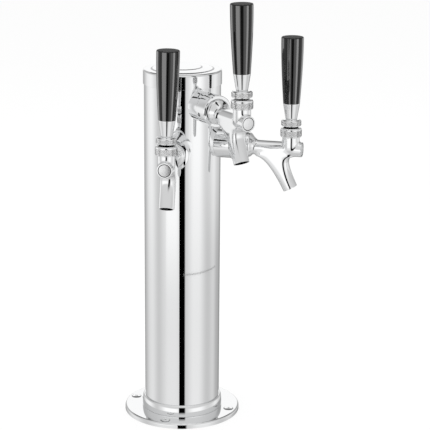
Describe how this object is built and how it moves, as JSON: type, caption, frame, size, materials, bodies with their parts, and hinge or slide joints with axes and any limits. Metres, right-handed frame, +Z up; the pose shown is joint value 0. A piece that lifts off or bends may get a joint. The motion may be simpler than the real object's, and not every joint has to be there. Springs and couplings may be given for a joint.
{
  "type": "beer tower dispenser",
  "caption": "Polished counter-top beer tower: a round column on a bolted flange, with lever faucets on threaded shanks, black taper grips and a lift-off cap.",
  "frame": {"origin": "centre of the base flange's underside, on the column's axis", "axes": "+Z up along the column; the middle faucet points along -Y; +X is to the right of someone who faces the faucets"},
  "size_m": [0.1703, 0.1806, 0.4352],
  "materials": {
    "polished_steel": "mirror polished",
    "chrome_plate": "polished chrome plate",
    "steel": "turned",
    "brass": "turned",
    "rubber": "matte",
    "white_plastic": "matte",
    "black_plastic": "matte",
    "black_gloss": "gloss"
  },
  "bodies": {
    "tower": {"column": "polished_steel", "base_flange": "polished_steel", "base_collar": "polished_steel", "left_shank": "chrome_plate", "left_column_shroud": "chrome_plate", "left_lock_nut": "brass", "left_tail_elbow": "chrome_plate", "left_coupling_gasket": "rubber", "left_coupling_nut": "chrome_plate", "left_faucet_body": "chrome_plate", "left_lever_bushing": "white_plastic", "left_ball_washer": "white_plastic", "left_friction_ring": "black_plastic", "left_bonnet": "chrome_plate", "middle_shank": "chrome_plate", "middle_column_shroud": "chrome_plate", "middle_lock_nut": "brass", "middle_tail_elbow": "chrome_plate", "middle_coupling_gasket": "rubber", "middle_coupling_nut": "chrome_plate", "middle_faucet_body": "chrome_plate", "middle_lever_bushing": "white_plastic", "middle_ball_washer": "white_plastic", "middle_friction_ring": "black_plastic", "middle_bonnet": "chrome_plate", "right_shank": "chrome_plate", "right_column_shroud": "chrome_plate", "right_lock_nut": "brass", "right_tail_elbow": "chrome_plate", "right_coupling_gasket": "rubber", "right_coupling_nut": "chrome_plate", "right_faucet_body": "chrome_plate", "right_lever_bushing": "white_plastic", "right_ball_washer": "white_plastic", "right_friction_ring": "black_plastic", "right_bonnet": "chrome_plate"},
    "cap": {"top_cap": "polished_steel"},
    "left_handle": {"left_lever": "steel", "left_lever_collar": "chrome_plate", "left_handle_ferrule": "chrome_plate", "left_handle_grip": "black_gloss"},
    "left_valve": {"left_valve_shaft": "steel", "left_seat_washer": "rubber", "left_shaft_nut": "brass"},
    "middle_handle": {"middle_lever": "steel", "middle_lever_collar": "chrome_plate", "middle_handle_ferrule": "chrome_plate", "middle_handle_grip": "black_gloss"},
    "middle_valve": {"middle_valve_shaft": "steel", "middle_seat_washer": "rubber", "middle_shaft_nut": "brass"},
    "right_handle": {"right_lever": "steel", "right_lever_collar": "chrome_plate", "right_handle_ferrule": "chrome_plate", "right_handle_grip": "black_gloss"},
    "right_valve": {"right_valve_shaft": "steel", "right_seat_washer": "rubber", "right_shaft_nut": "brass"}
  },
  "joints": [
    {"name": "cap_lift", "type": "slide", "parent": "tower", "child": "cap", "axis": [0, 0, 1], "range_m": [0, 0.03]},
    {"name": "left_lever_swing", "type": "hinge", "parent": "tower", "child": "left_handle", "pos_m": [-0.06785, -0.08684, 0.295], "axis": [0.788, -0.6157, 0], "range_deg": [0, 22]},
    {"name": "left_valve_slide", "type": "slide", "parent": "tower", "child": "left_valve", "axis": [0.6157, 0.788, 0], "range_m": [0, 0.0045]},
    {"name": "middle_lever_swing", "type": "hinge", "parent": "tower", "child": "middle_handle", "pos_m": [0, -0.1102, 0.336], "axis": [1, 0, 0], "range_deg": [0, 22]},
    {"name": "middle_valve_slide", "type": "slide", "parent": "tower", "child": "middle_valve", "axis": [0, 1, 0], "range_m": [0, 0.0045]},
    {"name": "right_lever_swing", "type": "hinge", "parent": "tower", "child": "right_handle", "pos_m": [0.07683, -0.079, 0.295], "axis": [0.7169, 0.6972, 0], "range_deg": [0, 22]},
    {"name": "right_valve_slide", "type": "slide", "parent": "tower", "child": "right_valve", "axis": [-0.6972, 0.7169, 0], "range_m": [0, 0.0045]}
  ],
  "couplings": [
    {"joint": "left_valve_slide", "follows": "left_lever_swing", "m_per_rad": 0.011455},
    {"joint": "middle_valve_slide", "follows": "middle_lever_swing", "m_per_rad": 0.011455},
    {"joint": "right_valve_slide", "follows": "right_lever_swing", "m_per_rad": 0.011455}
  ]
}
